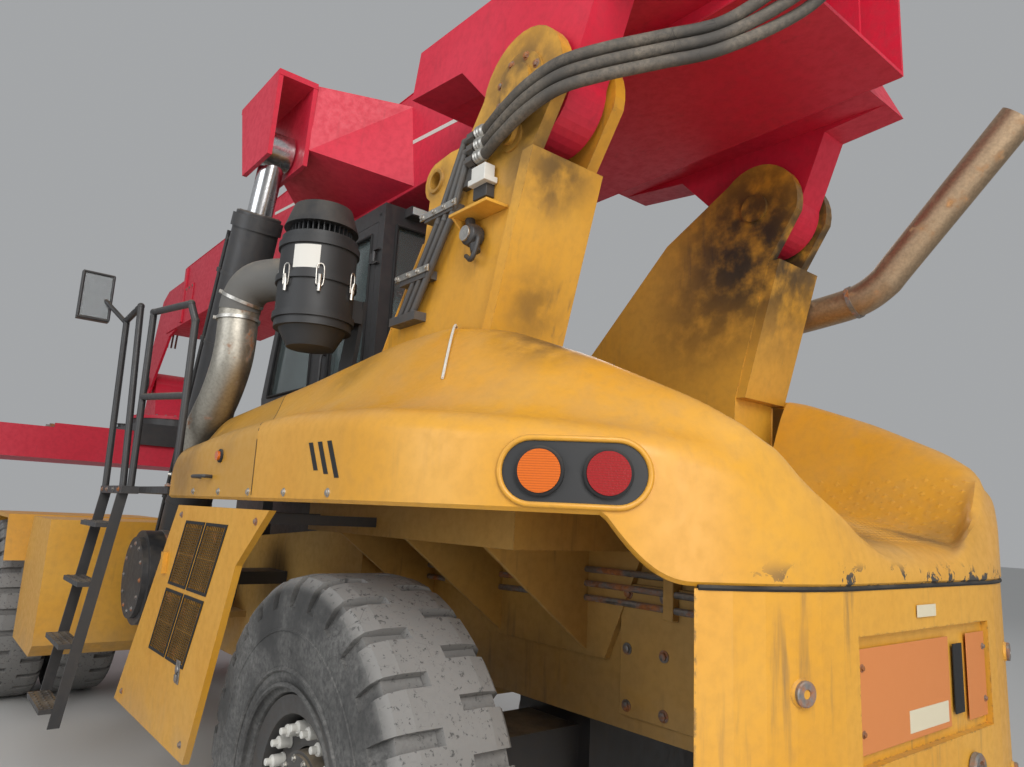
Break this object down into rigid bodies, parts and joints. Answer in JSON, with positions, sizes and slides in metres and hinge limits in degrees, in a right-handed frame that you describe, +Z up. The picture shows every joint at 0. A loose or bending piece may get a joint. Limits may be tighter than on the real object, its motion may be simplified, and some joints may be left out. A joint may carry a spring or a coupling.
{
  "type": "reach stacker",
  "caption": "Container reach stacker with a telescopic boom on forked towers, steered rear wheels, twin front tyres and a turning container spreader.",
  "frame": {"origin": "on the ground under the middle of the overall box", "axes": "+X forward, +Y to the left, +Z up"},
  "size_m": [11.3137, 6.058, 4.7799],
  "materials": {
    "yellow_paint": "worn gloss",
    "wheel_paint": "worn satin",
    "red_paint": "gloss",
    "black_paint": "satin",
    "frame_paint": "dusty satin",
    "cleaner_plastic": "satin",
    "pipe_steel": "heat stained",
    "exhaust_steel": "rusty",
    "rod_chrome": "polished",
    "tube_steel": "satin",
    "hose_rubber": "dusty",
    "tyre_rubber": "dusty",
    "tinted_glass": "tinted",
    "lamp_plastic": "gloss",
    "cab_trim": "matt"
  },
  "bodies": {
    "root": {"chassis_frame": "frame_paint", "tower_left": "yellow_paint", "tower_right": "yellow_paint", "counterweight": "yellow_paint", "rear_hood": "yellow_paint", "power_train": "frame_paint", "side_tanks": "yellow_paint", "round_tank": "black_paint", "front_fenders": "yellow_paint", "access_steps": "black_paint", "deck_plates": "black_paint", "air_cleaner": "cleaner_plastic", "intake_pipe": "pipe_steel", "exhaust_pipe": "exhaust_steel", "front_axle": "frame_paint", "rear_axle": "black_paint", "lamps": "lamp_plastic", "tower_pipes": "tube_steel", "boom_hoses": "hose_rubber", "cab_shell": "black_paint", "cab_glass": "tinted_glass", "cab_interior": "cab_trim"},
    "cab_door": {"cab_door": "black_paint", "door_glass": "tinted_glass"},
    "grille_door_left": {"grille_door_left": "yellow_paint"},
    "grille_door_right": {"grille_door_right": "yellow_paint"},
    "boom_outer": {"boom_outer": "red_paint"},
    "boom_inner": {"boom_inner": "red_paint"},
    "lift_barrel_left": {"lift_barrel_left": "black_paint"},
    "lift_barrel_right": {"lift_barrel_right": "black_paint"},
    "lift_rod_left": {"lift_rod_left": "rod_chrome"},
    "lift_rod_right": {"lift_rod_right": "rod_chrome"},
    "spreader_head": {"spreader_head": "red_paint"},
    "rotator": {"rotator": "black_paint"},
    "spreader_frame": {"spreader_frame": "red_paint"},
    "spreader_arm_left": {"spreader_arm_left": "red_paint"},
    "spreader_arm_right": {"spreader_arm_right": "red_paint"},
    "knuckle_left": {"knuckle_left": "black_paint"},
    "knuckle_right": {"knuckle_right": "black_paint"},
    "wheel_rear_left": {"tyre_rear_left": "tyre_rubber", "rim_rear_left": "wheel_paint"},
    "wheel_rear_right": {"tyre_rear_right": "tyre_rubber", "rim_rear_right": "wheel_paint"},
    "wheels_front_left": {"tyres_front_left": "tyre_rubber", "rims_front_left": "wheel_paint"},
    "wheels_front_right": {"tyres_front_right": "tyre_rubber", "rims_front_right": "wheel_paint"}
  },
  "joints": [
    {"name": "boom_lift", "type": "hinge", "parent": "root", "child": "boom_outer", "pos_m": [-4.432, 0, 3.66], "axis": [0, -1, 0], "range_deg": [0, 60], "deforming": ["boom_hoses"]},
    {"name": "boom_extend", "type": "slide", "parent": "boom_outer", "child": "boom_inner", "axis": [1, 0, 0], "range_m": [0, 7]},
    {"name": "lift_swing_left", "type": "hinge", "parent": "root", "child": "lift_barrel_left", "pos_m": [-0.742, 1.2, 1.3], "axis": [0, -1, 0], "range_deg": [0, 9.45]},
    {"name": "lift_stroke_left", "type": "slide", "parent": "lift_barrel_left", "child": "lift_rod_left", "axis": [-0.3768, 0, 0.9263], "range_m": [0, 2.4632]},
    {"name": "lift_swing_right", "type": "hinge", "parent": "root", "child": "lift_barrel_right", "pos_m": [-0.742, -1.2, 1.3], "axis": [0, -1, 0], "range_deg": [0, 9.45]},
    {"name": "lift_stroke_right", "type": "slide", "parent": "lift_barrel_right", "child": "lift_rod_right", "axis": [-0.3768, 0, 0.9263], "range_m": [0, 2.4632]},
    {"name": "spreader_level", "type": "hinge", "parent": "boom_inner", "child": "spreader_head", "pos_m": [4.438, 0, 3.45], "axis": [0, -1, 0], "range_deg": [-60.01, 0.01]},
    {"name": "spreader_turn", "type": "hinge", "parent": "spreader_head", "child": "rotator", "pos_m": [4.438, 0, 2.9], "axis": [0, 0, 1], "range_deg": [-105, 195]},
    {"name": "side_shift", "type": "slide", "parent": "rotator", "child": "spreader_frame", "axis": [0, -1, 0], "range_m": [-0.8, 0.8]},
    {"name": "arm_left_extend", "type": "slide", "parent": "spreader_frame", "child": "spreader_arm_left", "axis": [0, 1, 0], "range_m": [0, 3.067]},
    {"name": "arm_right_extend", "type": "slide", "parent": "spreader_frame", "child": "spreader_arm_right", "axis": [0, -1, 0], "range_m": [0, 3.067]},
    {"name": "cab_door_hinge", "type": "hinge", "parent": "root", "child": "cab_door", "pos_m": [-2.614, 0.736, 3], "axis": [0, 0, 1], "range_deg": [0, 80]},
    {"name": "grille_hinge_left", "type": "hinge", "parent": "root", "child": "grille_door_left", "pos_m": [-2.992, 1.644, 1.828], "axis": [1, 0, 0], "range_deg": [0, 80]},
    {"name": "grille_hinge_right", "type": "hinge", "parent": "root", "child": "grille_door_right", "pos_m": [-2.992, -1.644, 1.828], "axis": [-1, 0, 0], "range_deg": [0, 80]},
    {"name": "steer_left", "type": "hinge", "parent": "root", "child": "knuckle_left", "pos_m": [-3.992, 1, 0.81], "axis": [0, 0, 1], "range_deg": [-50, 50]},
    {"name": "steer_right", "type": "hinge", "parent": "root", "child": "knuckle_right", "pos_m": [-3.992, -1, 0.81], "axis": [0, 0, 1], "range_deg": [-50, 50]},
    {"name": "wheel_spin_rear_left", "type": "hinge", "parent": "knuckle_left", "child": "wheel_rear_left", "pos_m": [-3.992, 1.393, 0.81], "axis": [0, 1, 0], "continuous": true},
    {"name": "wheel_spin_rear_right", "type": "hinge", "parent": "knuckle_right", "child": "wheel_rear_right", "pos_m": [-3.992, -1.393, 0.81], "axis": [0, 1, 0], "continuous": true},
    {"name": "wheel_spin_front_left", "type": "hinge", "parent": "root", "child": "wheels_front_left", "pos_m": [2.008, 1.5575, 0.81], "axis": [0, 1, 0], "continuous": true},
    {"name": "wheel_spin_front_right", "type": "hinge", "parent": "root", "child": "wheels_front_right", "pos_m": [2.008, -1.5575, 0.81], "axis": [0, 1, 0], "continuous": true}
  ],
  "couplings": [
    {"joint": "lift_swing_left", "follows": "boom_lift", "ratio": 0.15716},
    {"joint": "lift_swing_right", "follows": "boom_lift", "ratio": 0.15716},
    {"joint": "lift_stroke_left", "follows": "boom_lift", "m_per_rad": 2.3512},
    {"joint": "lift_stroke_right", "follows": "boom_lift", "m_per_rad": 2.3512},
    {"joint": "spreader_level", "follows": "boom_lift", "ratio": -1},
    {"joint": "arm_right_extend", "follows": "arm_left_extend", "ratio": 1},
    {"joint": "steer_right", "follows": "steer_left", "ratio": 1}
  ]
}
